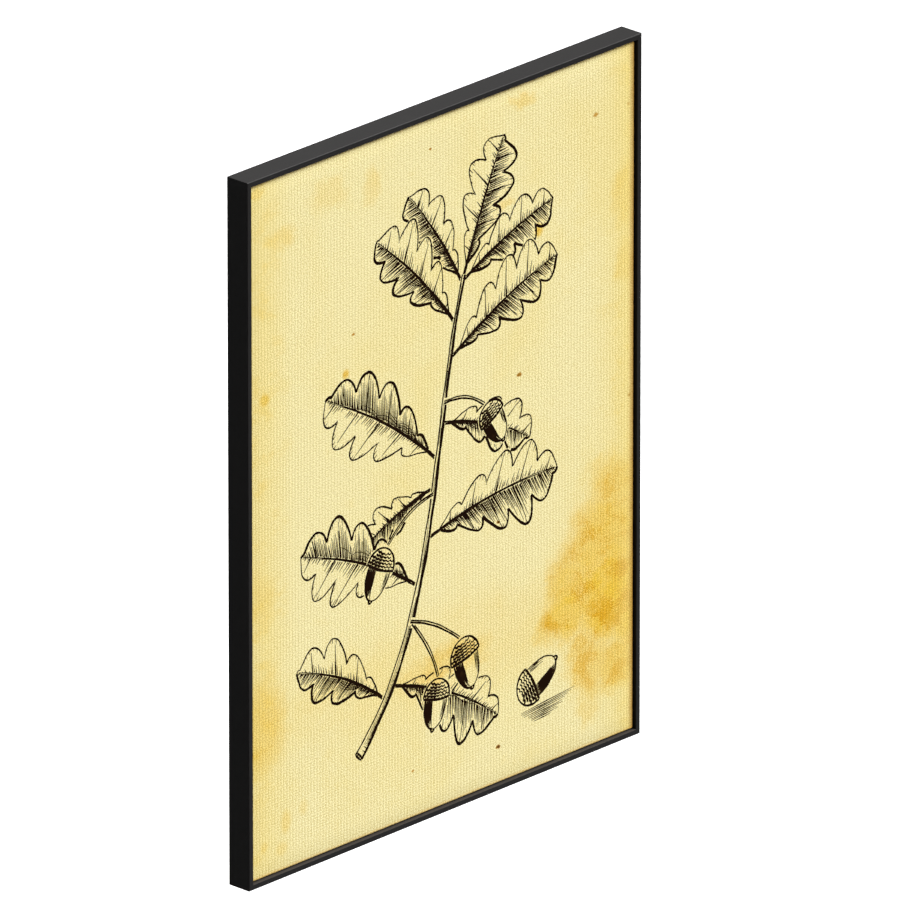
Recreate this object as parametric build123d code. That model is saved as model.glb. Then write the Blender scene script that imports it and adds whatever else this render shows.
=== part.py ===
# Framed canvas wall picture: a stretched canvas on keyed bars, held in a floater frame.
# X runs to the right as the picture is looked at, +Y goes into the wall and Z is up.
# The origin is on the wall, midway between the two hooks that the hanger rings hang on.
import math
import os

from build123d import *

# Canvas, a 30 by 40 inch stretched print
canvas_width = 762.0
canvas_height = 1016.0
canvas_thickness = 0.5
canvas_edge_radius = 1.5

# Stretcher bars and brace
bar_width = 38.0
bar_depth = 24.0
bar_rim = 6.0
bar_fall = 3.0
bare_bar = 6.0
tongue_thickness = 7.0
tongue_setback = 1.0
tongue_clearance = 0.1
brace_height = 38.0
brace_depth = 14.0
brace_tenon = 10.0
brace_shoulder = 8.0
brace_cheek = 3.5

# Corner keys
key_thickness = 3.0
key_inside = 14.0
key_outside = 11.0
key_head = 12.0
key_tip = 6.0

# Floater frame
lip_width = 8.0
lip_gap = 2.0
canvas_recess = 4.5
base_thickness = 8.5
base_ledge = 22.5
frame_edge_radius = 0.8

# V-nails across the frame's mitres
v_nail_leg = 6.0
v_nail_sheet = 0.6
v_nail_depth = 5.0
v_nail_margin = 3.0
v_nail_play = 0.05

# Strap hangers with a ring
hook_drop = 200.0
strap_sheet = 0.9
strap_width = 11.0
strap_end = 6.0
ring_wire_radius = 1.25
ring_side_gap = 2.75
ring_leg = 1.0
ring_bend_radius = 2.5
ring_pivot_clearance = 0.05
ring_rest_clearance = 0.3
hanger_wall_gap = 0.6

# Screws, each with a bite into the stretcher bar
canvas_screw = {"shank": 1.6, "head": 3.4, "head_height": 2.2, "bite": 10.5}
hanger_screw = {"shank": 1.4, "head": 2.6, "head_height": 1.7, "bite": 5.0}
screw_spacing = 600.0
screw_edge_distance = 8.5
screw_clearance = 0.3
pilot_clearance = 0.05
hanger_screw_gap = 2.0
recess_depth = 1.0

# Wall bumpers
bumper_radius = 6.0
bumper_edge_radius = 1.5

# Ring pivot: the ring leans on the rail at rest and lies over its strap when it is let down
pivot_height = strap_sheet + ring_wire_radius + ring_pivot_clearance
ring_half_width = strap_width / 2 + ring_side_gap + ring_wire_radius
ring_shoulder = ring_bend_radius + ring_leg
ring_reach = ring_shoulder + ring_half_width
ring_sink = pivot_height - ring_wire_radius - ring_rest_clearance
ring_lift = 2 * strap_sheet + ring_wire_radius + ring_rest_clearance - pivot_height
ring_lean = math.degrees(math.asin(ring_sink / ring_reach))
ring_hang = math.degrees(math.asin(ring_lift / ring_reach))
ring_swing = 180 + ring_lean - ring_hang
hook_height = (ring_reach - ring_wire_radius) * math.cos(math.radians(ring_lean))

# Derived levels along Y, from the wall forwards
bumper_thickness = 2 * pivot_height + hanger_wall_gap
frame_depth = base_thickness + bar_depth + 2 * canvas_thickness + canvas_recess
frame_back = -bumper_thickness
frame_front = frame_back - frame_depth
base_front = frame_back - base_thickness
bar_back = base_front - canvas_thickness
bar_front = bar_back - bar_depth
canvas_front = bar_front - canvas_thickness
tongue_low = (bar_front + bar_back - tongue_thickness) / 2
tongue_high = tongue_low + tongue_thickness
pivot_y = frame_back + pivot_height

# Derived sizes across the picture, with heights from its middle
frame_width = canvas_width + 2 * (lip_gap + lip_width)
frame_height = canvas_height + 2 * (lip_gap + lip_width)
bars_width = canvas_width - 2 * canvas_thickness
bars_height = canvas_height - 2 * canvas_thickness
bay_half_width = bars_width / 2 - bar_width
bay_half_height = bars_height / 2 - bar_width
canvas_return = canvas_thickness + bar_width - bare_bar
bar_inset = lip_width + lip_gap + canvas_thickness
base_width = bar_inset + base_ledge
screw_x = frame_width / 2 - bar_inset - screw_edge_distance
screw_z = frame_height / 2 - bar_inset - screw_edge_distance
screw_end_inset = hook_drop / 2
middle_z = hook_drop - frame_height / 2
pivot_z = frame_height / 2 - hook_drop - hook_height


def sides(width, height):
    """Name, length and place of a rectangle's four edges, for a piece along X whose outer edge is z=0."""
    return [
        ("top", width, Pos(0, 0, height / 2)),
        ("bottom", width, Pos(0, 0, -height / 2) * Rot(0, 180, 0)),
        ("left", height, Pos(-width / 2, 0, 0) * Rot(0, -90, 0)),
        ("right", height, Pos(width / 2, 0, 0) * Rot(0, 90, 0)),
    ]


def corners():
    """Name and the X and Z signs of the four corners."""
    return [("top_left", -1, 1), ("top_right", 1, 1), ("bottom_left", -1, -1), ("bottom_right", 1, -1)]


def prism(points, low, high):
    """A solid with an outline in X and Z, between two depths along Y."""
    face = Plane.XZ * Polygon(*points, align=None)
    return Pos(0, high, 0) * extrude(face, high - low, dir=(0, -1, 0))


def mitred(section, length, width):
    """A section in Y and Z drawn along X, with both ends mitred from the outer edge inwards."""
    half = length / 2
    stock = extrude(Plane.YZ * section, half, both=True)
    outline = [(-half, 0), (half, 0), (half - width, -width), (width - half, -width)]
    return stock & prism(outline, -frame_depth * 2, frame_depth)


def block(low, high):
    """A box between two opposite corners."""
    size = [h - l for l, h in zip(low, high)]
    centre = [(h + l) / 2 for l, h in zip(low, high)]
    return Pos(*centre) * Box(*size)


def pin(x, z, radius, low, high):
    """A round bar along Y."""
    return Pos(x, (low + high) / 2, z) * Rot(90, 0, 0) * Cylinder(radius, high - low)


def wood_screw(x, z, seat, size):
    """A pan-head screw driven forwards from its seat, with a cross recess in the head."""
    shank, head = size["shank"], size["head"]
    tip = bar_back - size["bite"]
    taper = 2 * shank
    top = seat + size["head_height"]
    cap = pin(x, z, head, seat, top)
    cap = fillet(cap.edges().sort_by(Axis.Y)[-1], size["head_height"] * 0.6)
    point = Pos(x, tip + taper / 2, z) * Rot(90, 0, 0) * Cone(shank, shank * 0.15, taper)
    arm, slot = head * 0.58, head * 0.13
    recess = block((x - arm, top - recess_depth, z - slot), (x + arm, top, z + slot))
    recess += block((x - slot, top - recess_depth, z - arm), (x + slot, top, z + arm))
    return cap + pin(x, z, shank, tip + taper, seat) + point - recess


# Frame rails: a lip at the edge of the face and a base behind the bars
profile = Polygon(
    (frame_back, 0),
    (frame_front, 0),
    (frame_front, -lip_width),
    (base_front, -lip_width),
    (base_front, -base_width),
    (frame_back, -base_width),
    align=None,
)
profile = fillet(profile.vertices().sort_by(Axis.X)[:2], frame_edge_radius)
nodes = {}
for name, length, place in sides(frame_width, frame_height):
    nodes["frame_rail_" + name] = place * mitred(profile, length, base_width)


def v_nail(sx, sz, inset, play):
    """A bent steel nail with its corner on the mitre and one leg in each rail, grown by some play."""
    x = frame_width / 2 - inset
    z = frame_height / 2 - inset
    near, far, sheet = play, -v_nail_leg - play, -v_nail_sheet - play
    steps = [(near, near), (far, near), (far, sheet), (sheet, sheet), (sheet, far), (near, far)]
    outline = [(sx * (x + across), sz * (z + up)) for across, up in steps]
    return prism(outline, frame_back - v_nail_depth - play, frame_back)


# V-nails, driven into the back of each mitre and flush with it
v_nail_insets = {"outer": lip_width + v_nail_margin, "inner": base_width - v_nail_leg - v_nail_margin}
for name, sx, sz in corners():
    for row, inset in v_nail_insets.items():
        nodes[f"v_nail_{name}_{row}"] = v_nail(sx, sz, inset, 0)
        for side in name.split("_"):
            nodes["frame_rail_" + side] -= v_nail(sx, sz, inset, v_nail_play)

# Stretcher bars: the front falls away behind a rim, so the cloth bears on the outer edge alone
section = Polygon(
    (bar_back, 0),
    (bar_front, 0),
    (bar_front, -bar_rim),
    (bar_front + bar_fall, -bar_width),
    (bar_back, -bar_width),
    align=None,
)
outer_front = section.vertices().sort_by(Axis.X)[:2].sort_by(Axis.Y)[-1]
section = fillet(outer_front, canvas_edge_radius - canvas_thickness)
for name, length, place in sides(bars_width, bars_height):
    nodes["stretcher_bar_" + name] = place * mitred(section, length, bar_width)

# Tongues of the top and bottom bars run into slots in the side bars
for name, sx, sz in corners():
    level, side = name.split("_")
    x = sx * bars_width / 2
    z = sz * bars_height / 2
    tip_x = x - sx * tongue_setback
    tip_z = z - sz * tongue_setback
    tongue = prism(
        [(tip_x, tip_z), (tip_x, z - sz * bar_width), (x - sx * bar_width, z - sz * bar_width)],
        tongue_low, tongue_high)
    slot = prism(
        [(x, z), (x, z - sz * bar_width), (x - sx * bar_width, z - sz * bar_width)],
        tongue_low - tongue_clearance, tongue_high + tongue_clearance)
    nodes["stretcher_bar_" + level] += tongue
    nodes["stretcher_bar_" + side] -= slot

# Brace across the middle, tenoned into the side bars
brace_front = bar_back - brace_depth
tenon_reach = bay_half_width + brace_tenon
tenon_half_height = brace_height / 2 - brace_shoulder
tenon = block(
    (-tenon_reach, brace_front + brace_cheek, -tenon_half_height),
    (tenon_reach, bar_back - brace_cheek, tenon_half_height))
beam = block(
    (-bay_half_width, brace_front, -brace_height / 2),
    (bay_half_width, bar_back, brace_height / 2))
nodes["stretcher_brace"] = beam + tenon
for side in ("left", "right"):
    nodes["stretcher_bar_" + side] -= tenon

# Corner keys: one driven into each bar from inside the corner, before and behind the tongue
key_levels = {
    "upright": (tongue_high + bar_back) / 2,
    "level": (bar_front + bar_fall + tongue_low) / 2,
}
for name, sx, sz in corners():
    level, side = name.split("_")
    x = sx * bay_half_width
    z = sz * bay_half_height
    upright = [(x, z - sz * key_outside), (x - sx * key_head, z - sz * key_outside),
               (x - sx * key_tip, z + sz * key_inside), (x, z + sz * key_inside)]
    level_key = [(x - sx * key_outside, z), (x - sx * key_outside, z - sz * key_head),
                 (x + sx * key_inside, z - sz * key_tip), (x + sx * key_inside, z)]
    for way, bar, outline in (("upright", level, upright), ("level", side, level_key)):
        middle = key_levels[way]
        key = prism(outline, middle - key_thickness / 2, middle + key_thickness / 2)
        nodes["corner_key_" + name + "_" + way] = key
        nodes["stretcher_bar_" + bar] -= key

# Canvas: the face, the sides and the returns on the bars' backs, in one cloth
cloth = block(
    (-canvas_width / 2, canvas_front, -canvas_height / 2),
    (canvas_width / 2, base_front, canvas_height / 2))
cloth = fillet(cloth.faces().sort_by(Axis.Y)[0].edges(), canvas_edge_radius)
hollow = block(
    (-bars_width / 2, bar_front, -bars_height / 2),
    (bars_width / 2, bar_back, bars_height / 2))
hollow = fillet(hollow.faces().sort_by(Axis.Y)[0].edges(), canvas_edge_radius - canvas_thickness)
window_x = canvas_width / 2 - canvas_return
window_z = canvas_height / 2 - canvas_return
window = block((-window_x, bar_front, -window_z), (window_x, base_front, window_z))
nodes["canvas"] = cloth - hollow - window


def drive(name, x, z, side, seat, size):
    """Add one screw and bore the rail, the cloth and the bar that it goes through."""
    nodes[name] = wood_screw(x, z, seat, size)
    clear = pin(x, z, size["shank"] + screw_clearance, bar_back, frame_back)
    pilot = pin(x, z, size["shank"] + pilot_clearance, bar_back - size["bite"] - recess_depth, bar_back)
    nodes["frame_rail_" + side] -= clear
    nodes["canvas"] -= clear
    nodes["stretcher_bar_" + side] -= pilot


# Screws through the base into the bars
for side, sign in (("top", 1), ("bottom", -1), ("left", -1), ("right", 1)):
    upright = side in ("left", "right")
    reach = (frame_height if upright else frame_width) / 2 - screw_end_inset
    count = 1 + math.ceil(2 * reach / screw_spacing)
    for index in range(count):
        along = -reach + 2 * reach * index / (count - 1)
        x, z = (sign * screw_x, along) if upright else (along, sign * screw_z)
        drive(f"canvas_screw_{side}_{index + 1}", x, z, side, frame_back, canvas_screw)

# Strap hangers on the side rails: a folded strap, two screws and a swinging ring
ring_edge = ring_reach + ring_wire_radius
hanger_screw_drops = (
    (pivot_height + ring_reach - ring_wire_radius) / 2,
    ring_edge + hanger_screw_gap + hanger_screw["head"],
)
strap_length = hanger_screw_drops[-1] + strap_end
for side, sign in (("left", -1), ("right", 1)):
    x = sign * screw_x
    strap_top = frame_back + 2 * strap_sheet
    end_z = pivot_z - strap_length + strap_width / 2
    strap = block((x - strap_width / 2, frame_back, end_z), (x + strap_width / 2, strap_top, pivot_z))
    strap += pin(x, end_z, strap_width / 2, frame_back, strap_top)
    axle = Pos(x, pivot_y, pivot_z) * Rot(0, 90, 0)
    strap += axle * Cylinder(pivot_height, strap_width)
    strap -= axle * Cylinder(ring_wire_radius + ring_pivot_clearance, strap_width * 2)
    for index, drop in enumerate(hanger_screw_drops):
        z = pivot_z - drop
        strap -= pin(x, z, hanger_screw["shank"] + screw_clearance, frame_back - strap_sheet, strap_top + strap_sheet)
        drive(f"hanger_screw_{side}_{index + 1}", x, z, side, strap_top, hanger_screw)
    nodes["hanger_strap_" + side] = strap

    half, bend = ring_half_width, ring_bend_radius
    slant = bend * (1 - math.sqrt(0.5))
    path = Wire([
        Edge.make_line((bend - half, 0, 0), (half - bend, 0, 0)),
        Edge.make_three_point_arc((half - bend, 0, 0), (half - slant, 0, slant), (half, 0, bend)),
        Edge.make_line((half, 0, bend), (half, 0, ring_shoulder)),
        Edge.make_three_point_arc((half, 0, ring_shoulder), (0, 0, ring_reach), (-half, 0, ring_shoulder)),
        Edge.make_line((-half, 0, ring_shoulder), (-half, 0, bend)),
        Edge.make_three_point_arc((-half, 0, bend), (slant - half, 0, slant), (bend - half, 0, 0)),
    ])
    wire = Plane(origin=(0, 0, ring_reach), z_dir=(1, 0, 0)) * Circle(ring_wire_radius)
    ring = sweep(wire, path)
    nodes["hanger_ring_" + side] = Pos(x, pivot_y, pivot_z) * Rot(ring_lean, 0, 0) * ring

# Rubber bumpers that keep the lower corners off the wall
for side, sign in (("left", -1), ("right", 1)):
    x = sign * (frame_width / 2 - base_width / 2)
    bumper = pin(x, base_width / 2 - frame_height / 2, bumper_radius, frame_back, 0)
    nodes["wall_bumper_" + side] = fillet(bumper.edges().sort_by(Axis.Y)[-1], bumper_edge_radius)

os.makedirs("parts", exist_ok=True)
for name, shape in nodes.items():
    export_step(Pos(0, 0, middle_z) * shape, f"parts/{name}.step")
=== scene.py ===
import math

import bpy
import numpy as np
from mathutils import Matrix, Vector


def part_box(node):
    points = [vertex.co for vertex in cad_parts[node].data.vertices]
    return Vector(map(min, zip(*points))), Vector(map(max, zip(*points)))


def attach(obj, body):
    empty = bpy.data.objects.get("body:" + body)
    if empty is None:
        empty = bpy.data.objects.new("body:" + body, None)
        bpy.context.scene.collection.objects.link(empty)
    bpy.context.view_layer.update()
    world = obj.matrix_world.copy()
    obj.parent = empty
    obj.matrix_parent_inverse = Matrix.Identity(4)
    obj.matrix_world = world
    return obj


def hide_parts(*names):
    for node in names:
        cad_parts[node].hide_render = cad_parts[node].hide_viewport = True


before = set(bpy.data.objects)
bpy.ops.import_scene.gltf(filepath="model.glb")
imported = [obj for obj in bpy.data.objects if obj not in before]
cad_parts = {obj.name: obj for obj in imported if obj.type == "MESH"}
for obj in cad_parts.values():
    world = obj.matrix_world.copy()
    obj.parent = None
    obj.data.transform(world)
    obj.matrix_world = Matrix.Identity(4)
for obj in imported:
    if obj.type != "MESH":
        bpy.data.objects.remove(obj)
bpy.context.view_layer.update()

# Camera
# A long lens a good way off, to the left of the picture and above it, so that its edges stay nearly
# parallel. It looks at a point on the frame's face a little above the middle.
view_turn = math.radians(46.730)
view_rise = math.radians(21.764)
view_distance = 38.19
far_clip = 200.0
lens_mm = 1118.4
frame_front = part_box("frame_rail_top")[0][1]
aim = Vector((0.0079, frame_front, -0.3032))
sight = Vector((math.sin(view_turn) * math.cos(view_rise), math.cos(view_turn) * math.cos(view_rise),
                -math.sin(view_rise)))
bpy.ops.object.camera_add(location=aim - sight * view_distance,
                          rotation=sight.to_track_quat("-Z", "Y").to_euler())
camera = bpy.context.object
camera.data.lens = lens_mm
camera.data.clip_end = far_clip
bpy.context.scene.camera = camera


# Stretcher bars and brace
# Four planed pine bars, tongued together at mitred corners, with a brace across the middle that keeps the
# long ones from bowing. The wood is bare, with straight grain along each bar and a few small knots.
class Shade:
    """One socket in a finish. Sums on it add Math nodes, and node() adds any other kind."""

    def __init__(self, tree, socket=None):
        self.tree = tree
        self.socket = socket

    def node(self, kind, sockets, out=0, **settings):
        made = self.tree.nodes.new("ShaderNode" + kind)
        for name, value in settings.items():
            setattr(made, name, value)
        for name, value in sockets.items():
            if isinstance(value, Shade):
                self.tree.links.new(value.socket, made.inputs[name])
            else:
                made.inputs[name].default_value = value
        return Shade(self.tree, made.outputs[out])

    def math(self, operation, first, second=0.0):
        return self.node("Math", {0: first, 1: second}, operation=operation)

    def __add__(self, other):
        return self.math("ADD", self, other)

    def __sub__(self, other):
        return self.math("SUBTRACT", self, other)

    def __rsub__(self, other):
        return self.math("SUBTRACT", other, self)

    def __mul__(self, other):
        return self.math("MULTIPLY", self, other)

    def __pow__(self, other):
        return self.math("POWER", self, other)

    __radd__ = __add__
    __rmul__ = __mul__

    def least(self, other):
        return self.math("MINIMUM", self, other)

    def most(self, other):
        return self.math("MAXIMUM", self, other)

    def rise(self, low, high):
        """0 below low, 1 above high and smooth between."""
        return self.node("MapRange", {"Value": self, "From Min": low, "From Max": high},
                         interpolation_type="SMOOTHSTEP")

    def fall(self, low, high):
        """1 below low, 0 above high and smooth between."""
        return 1.0 - self.rise(low, high)

    def blend(self, colour, other):
        """A colour that goes to another as this value goes from 0 to 1."""
        return self.node("Mix", {0: self, 6: tint(colour), 7: tint(other)}, out=2, data_type="RGBA")

    def noise(self, scale, detail=3.0, roughness=0.5, distortion=0.0):
        return self.node("TexNoise", {"Vector": self, "Scale": scale, "Detail": detail,
                                      "Roughness": roughness, "Distortion": distortion})

    def stretch(self, *scale):
        return self.node("Mapping", {"Vector": self, "Scale": scale})

    def axis(self, name):
        return self.node("SeparateXYZ", {0: self}, out=name)


def tint(colour):
    """A colour for a socket: a link as it is, or three numbers with a full alpha."""
    return colour if isinstance(colour, Shade) else (*colour, 1.0)


def new_finish(name):
    """A material with its Principled shader, and Object coordinates to start from."""
    made = bpy.data.materials.new(name)
    made.use_nodes = True
    start = Shade(made.node_tree)
    return made, made.node_tree.nodes["Principled BSDF"], start.node("TexCoord", {}, out="Object")


def plug(shader, name, value):
    value.tree.links.new(value.socket, shader.inputs[name])


def emboss(shader, height, depth):
    """Raise the surface by a height from 0 to 1, as deep as given in metres."""
    plug(shader, "Normal", height.node("Bump", {"Height": height, "Strength": 1.0, "Distance": depth}))


def pine_grain(coords, along):
    """Light and dark wood between 0 and 1, with its lines along one axis."""
    drawn_out = 0.045
    rings_across = 240.0
    rings_deep = 190.0
    long_way = [1.0, 1.0, 1.0]
    long_way["XYZ".index(along)] = drawn_out
    drawn = coords.stretch(*long_way)
    sway = drawn.noise(30.0, detail=3.0, roughness=0.5)
    slow = drawn.noise(9.0, detail=1.0)
    across = drawn.axis("Z" if along == "X" else "X")
    phase = across * rings_across + drawn.axis("Y") * rings_deep + sway * 15.0 + slow * 14.0
    ring = phase.math("FRACT", phase)
    late = ring.rise(0.45, 0.90) * ring.fall(0.92, 1.0)
    fibres = drawn.noise(1100.0, detail=3.0, roughness=0.7)
    return late * (0.06 + sway * slow * 1.3) + (fibres - 0.5) * 0.9 + 0.24


def pine_finish(name, along, early, late):
    """Bare wood with its grain along one axis, from its early to its late colour, with a few knots."""
    made, shader, coords = new_finish(name)
    grain = pine_grain(coords, along)
    spots = coords.node("TexVoronoi", {"Vector": coords.stretch(1.0, 0.4, 1.0), "Scale": 7.0})
    knots = spots.fall(0.035, 0.075)
    patches = coords.noise(9.0, detail=3.0)
    wood = grain.rise(0.05, 0.80).blend(early, late)
    wood = (patches.rise(0.40, 0.75) * 0.40).blend(wood, late)
    plug(shader, "Base Color", knots.blend(wood, knot_brown))
    plug(shader, "Roughness", 0.74 - grain * 0.14)
    emboss(shader, grain, pine_relief)
    return made


def dress(finish, *starts):
    """Give a finish to every node whose name starts with one of these."""
    for name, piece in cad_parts.items():
        if name.startswith(starts):
            piece.material_slots[0].material = finish


pine_early = (0.76, 0.58, 0.36)
pine_late = (0.50, 0.29, 0.12)
knot_brown = (0.13, 0.06, 0.025)
pine_relief = 0.00006
dress(pine_finish("pine_level", "X", pine_early, pine_late), "stretcher_bar_top", "stretcher_bar_bottom",
      "stretcher_brace")
dress(pine_finish("pine_upright", "Z", pine_early, pine_late), "stretcher_bar_left", "stretcher_bar_right")

# Corner keys
# Small sawn wedges of a darker, harder wood, two at each corner. They are tapped into slots from inside
# to spread the bars and tighten the cloth, and their edges are left rough.
key_early = (0.56, 0.36, 0.19)
key_late = (0.36, 0.20, 0.09)
dress(pine_finish("key_wood", "Z", key_early, key_late), "corner_key")

# Canvas
# One sheet of primed cotton, drawn tight over the bars, its edges turned round their backs. The face is
# printed as an aged yellow sheet with stains and specks, and the coarse weave shows through the print. The
# weave's light and shade are partly painted into the colour, and shade from the frame's lip is painted
# along the right, top and bottom edges.
canvas_low, canvas_high = (Vector(corner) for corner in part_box("canvas"))
canvas_size = canvas_high - canvas_low
canvas_middle = (canvas_low + canvas_high) / 2
cloth_thickness = 0.0005
cloth_radius = 0.0015
bar_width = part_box("stretcher_bar_top")[1][2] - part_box("stretcher_bar_top")[0][2]
bare_bar = 0.006
cloth_return = cloth_thickness + bar_width - bare_bar


def only(piece):
    """Select one object alone and make it active."""
    bpy.ops.object.select_all(action="DESELECT")
    piece.select_set(True)
    bpy.context.view_layer.objects.active = piece


def pick(piece, kind, wanted):
    """In edit mode, select the edges or faces whose middle is wanted."""
    bpy.ops.mesh.select_mode(type=kind)
    bpy.ops.mesh.select_all(action="DESELECT")
    bpy.ops.object.mode_set(mode="OBJECT")
    points = piece.data.vertices
    for item in piece.data.edges if kind == "EDGE" else piece.data.polygons:
        ends = [points[index].co for index in item.vertices]
        item.select = wanted(sum(ends, Vector()) / len(ends), item)
    bpy.ops.object.mode_set(mode="EDIT")


bpy.ops.object.select_all(action="DESELECT")
bpy.ops.mesh.primitive_grid_add(x_subdivisions=30, y_subdivisions=40, size=1.0)
canvas = bpy.context.object
canvas.name = "canvas_cloth"
canvas.scale = (canvas_size.x, canvas_size.z, 1.0)
canvas.rotation_euler = (math.pi / 2, 0.0, 0.0)
canvas.location = (canvas_middle.x, canvas_low.y, canvas_middle.z)
bpy.ops.object.transform_apply(location=True, rotation=True, scale=True)
bpy.ops.object.mode_set(mode="EDIT")
bpy.ops.mesh.select_all(action="SELECT")
bpy.ops.mesh.region_to_loop()
bpy.ops.mesh.extrude_region_move(TRANSFORM_OT_translate={"value": (0.0, canvas_size.y, 0.0)})
bpy.ops.mesh.extrude_region_move(TRANSFORM_OT_translate={"value": (0.0, 0.0, 0.0)})
inward = [1.0 - 2.0 * cloth_return / length for length in (canvas_size.x, canvas_size.z)]
bpy.ops.transform.resize(value=(inward[0], 1.0, inward[1]), center_override=canvas_middle)


def on_turned_edge(middle, edge):
    """The long edges where the cloth turns, at the front and at the back."""
    near_enough = 1e-5
    out_x = abs(abs(middle.x - canvas_middle.x) - canvas_size.x / 2) < near_enough
    out_z = abs(abs(middle.z - canvas_middle.z) - canvas_size.z / 2) < near_enough
    turned = min(abs(middle.y - canvas_low.y), abs(middle.y - canvas_high.y)) < near_enough
    return turned and (out_x or out_z)


pick(canvas, "EDGE", on_turned_edge)
bpy.ops.mesh.bevel(offset=cloth_radius, segments=4)
bpy.ops.mesh.select_all(action="SELECT")
bpy.ops.mesh.normals_make_consistent(inside=False)
bpy.ops.object.mode_set(mode="OBJECT")


def weave(coords, pitch_across, pitch_up, slub):
    """Threads over and under, from 0 to 1, with uneven yarn."""
    drawn_out = 0.22
    sway = 1.2
    uneven = coords.stretch(1.0, 1.0, drawn_out).noise(slub, detail=2.0)
    uneven_across = coords.stretch(drawn_out, 1.0, 1.0).noise(slub, detail=2.0)
    ends = coords.axis("X") * (math.tau / pitch_across) + uneven * sway
    picks = coords.axis("Z") * (math.tau / pitch_up) + uneven_across * sway
    return (ends.math("SINE", ends) + 1.0) * 0.5, (picks.math("SINE", picks) + 1.0) * 0.5


def spot_reach(start, spot_across, spot_up, half_width, half_height):
    """How far out from a spot's middle, with 1 at its rim. Across and up are from the canvas's middle."""
    scale = (1.0 / half_width, 0.0, 1.0 / half_height)
    shift = (-(canvas_middle.x + spot_across) * scale[0], 0.0, -(canvas_middle.z + spot_up) * scale[2])
    placed = start.node("Mapping", {"Vector": start, "Location": shift, "Scale": scale})
    return placed.node("VectorMath", {0: placed}, out="Value", operation="LENGTH")


# Stains as columns: across and up from the middle, half width and half height in metres, strength
stains = [
    (0.328, -0.290, 0.095, 0.080, 1.00),
    (0.372, -0.305, 0.050, 0.095, 1.00),
    (0.330, -0.205, 0.105, 0.085, 0.86),
    (0.290, -0.381, 0.055, 0.068, 0.68),
    (0.347, -0.401, 0.055, 0.050, 0.76),
    (0.350, -0.135, 0.070, 0.055, 0.62),
    (0.255, -0.262, 0.065, 0.070, 0.80),
    (0.245, -0.300, 0.066, 0.058, 0.95),
    (0.000, -0.295, 0.125, 0.036, 0.55),
    (0.040, -0.288, 0.430, 0.085, 0.20),
    (-0.366, -0.284, 0.062, 0.085, 0.52),
    (-0.362, -0.100, 0.036, 0.045, 0.32),
    (-0.370, 0.497, 0.020, 0.012, 0.42),
    (-0.318, 0.420, 0.030, 0.022, 0.30),
    (-0.225, 0.456, 0.040, 0.024, 0.24),
    (-0.141, 0.447, 0.022, 0.034, 0.28),
    (0.152, 0.484, 0.034, 0.014, 0.38),
    (0.368, 0.284, 0.034, 0.055, 0.38),
    (0.364, 0.190, 0.030, 0.042, 0.38),
    (0.190, 0.284, 0.010, 0.012, 0.80),
    (0.130, 0.342, 0.020, 0.013, 0.34),
    (-0.194, 0.183, 0.008, 0.008, 0.80),
    (-0.354, 0.191, 0.012, 0.011, 0.72),
    (-0.314, -0.439, 0.012, 0.020, 0.40),
    (-0.279, -0.428, 0.010, 0.014, 0.26),
    (-0.322, -0.476, 0.014, 0.012, 0.28),
    (-0.357, -0.464, 0.008, 0.010, 0.30),
    (0.286, -0.452, 0.024, 0.022, 0.34),
]
# Specks as columns: across and up from the middle in metres, radius, strength
specks = [
    (0.151, 0.083, 0.0052, 0.85),
    (0.110, -0.455, 0.0044, 1.00),
    (0.109, -0.122, 0.0034, 0.90),
    (-0.180, 0.237, 0.0034, 0.70),
    (0.372, -0.010, 0.0040, 0.90),
    (0.304, 0.421, 0.0048, 0.55),
    (0.370, 0.419, 0.0044, 0.65),
    (-0.026, 0.464, 0.0028, 0.80),
    (-0.062, -0.440, 0.0030, 0.60),
]
parchment_pale = (0.938, 0.843, 0.450)
parchment_warm_and_edge_shade = (0.910, 0.748, 0.268)
parchment_ochre = (0.888, 0.598, 0.046)
stain_and_edge_shade_orange = (0.715, 0.350, 0.008)
right_edge_painted_shade = (0.430, 0.215, 0.030)
speck_orange = (0.560, 0.290, 0.030)
speck_brown = (0.140, 0.060, 0.010)
primed_white = (0.80, 0.78, 0.72)
primed_hollow_shade = (0.66, 0.64, 0.58)
thread_shade_and_dark_grain = (0.74, 0.69, 0.53)
thread_highlight_and_pale_grain = (1.09, 1.11, 1.22)
print_pitches = (0.00597, 0.0040)
print_slub = 40.0
fine_pitches = (0.0016, 0.0016)
fine_slub = 60.0
print_turn = 0.007
small_stain = 0.015
stray = 0.085
cloth_relief = 0.00022

printed, shader, coords = new_finish("printed_canvas")
across = coords.axis("X") - canvas_middle.x
up = coords.axis("Z") - canvas_middle.z
clouds = coords.noise(4.5, detail=6.0, roughness=0.62, distortion=0.4)
fine_clouds = coords.stretch(0.75, 1.0, 1.0).noise(32.0, detail=5.0, roughness=0.68)
side_gap = canvas_size.x / 2 - across.math("ABSOLUTE", across)
level_gap = canvas_size.z / 2 - up.math("ABSOLUTE", up)
edge_gap = side_gap.least(level_gap)
edge_tone = (side_gap.least(level_gap + 0.070) + (clouds - 0.5) * 0.14).fall(0.0, 0.090)
sheet_colour = (clouds.rise(0.40, 0.72) * 0.50).blend(parchment_pale, parchment_warm_and_edge_shade)
sheet_colour = (edge_tone * 0.64).blend(sheet_colour, parchment_warm_and_edge_shade)
sheet_colour = (edge_tone * fine_clouds.rise(0.48, 0.70) * 0.30).blend(sheet_colour, parchment_ochre)
sheet_colour = (fine_clouds.rise(0.56, 0.76) * 0.25).blend(sheet_colour, parchment_warm_and_edge_shade)
strayed = coords.node("TexNoise", {"Vector": coords, "Scale": 17.0, "Detail": 7.0, "Roughness": 0.70},
                      out="Color")
strayed = strayed.node("VectorMath", {0: strayed, 1: (0.5, 0.5, 0.5)}, operation="SUBTRACT")
strayed = strayed.node("VectorMath", {0: strayed, 1: (stray, 0.0, stray), 2: coords},
                       operation="MULTIPLY_ADD")
stain = 0.0
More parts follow.
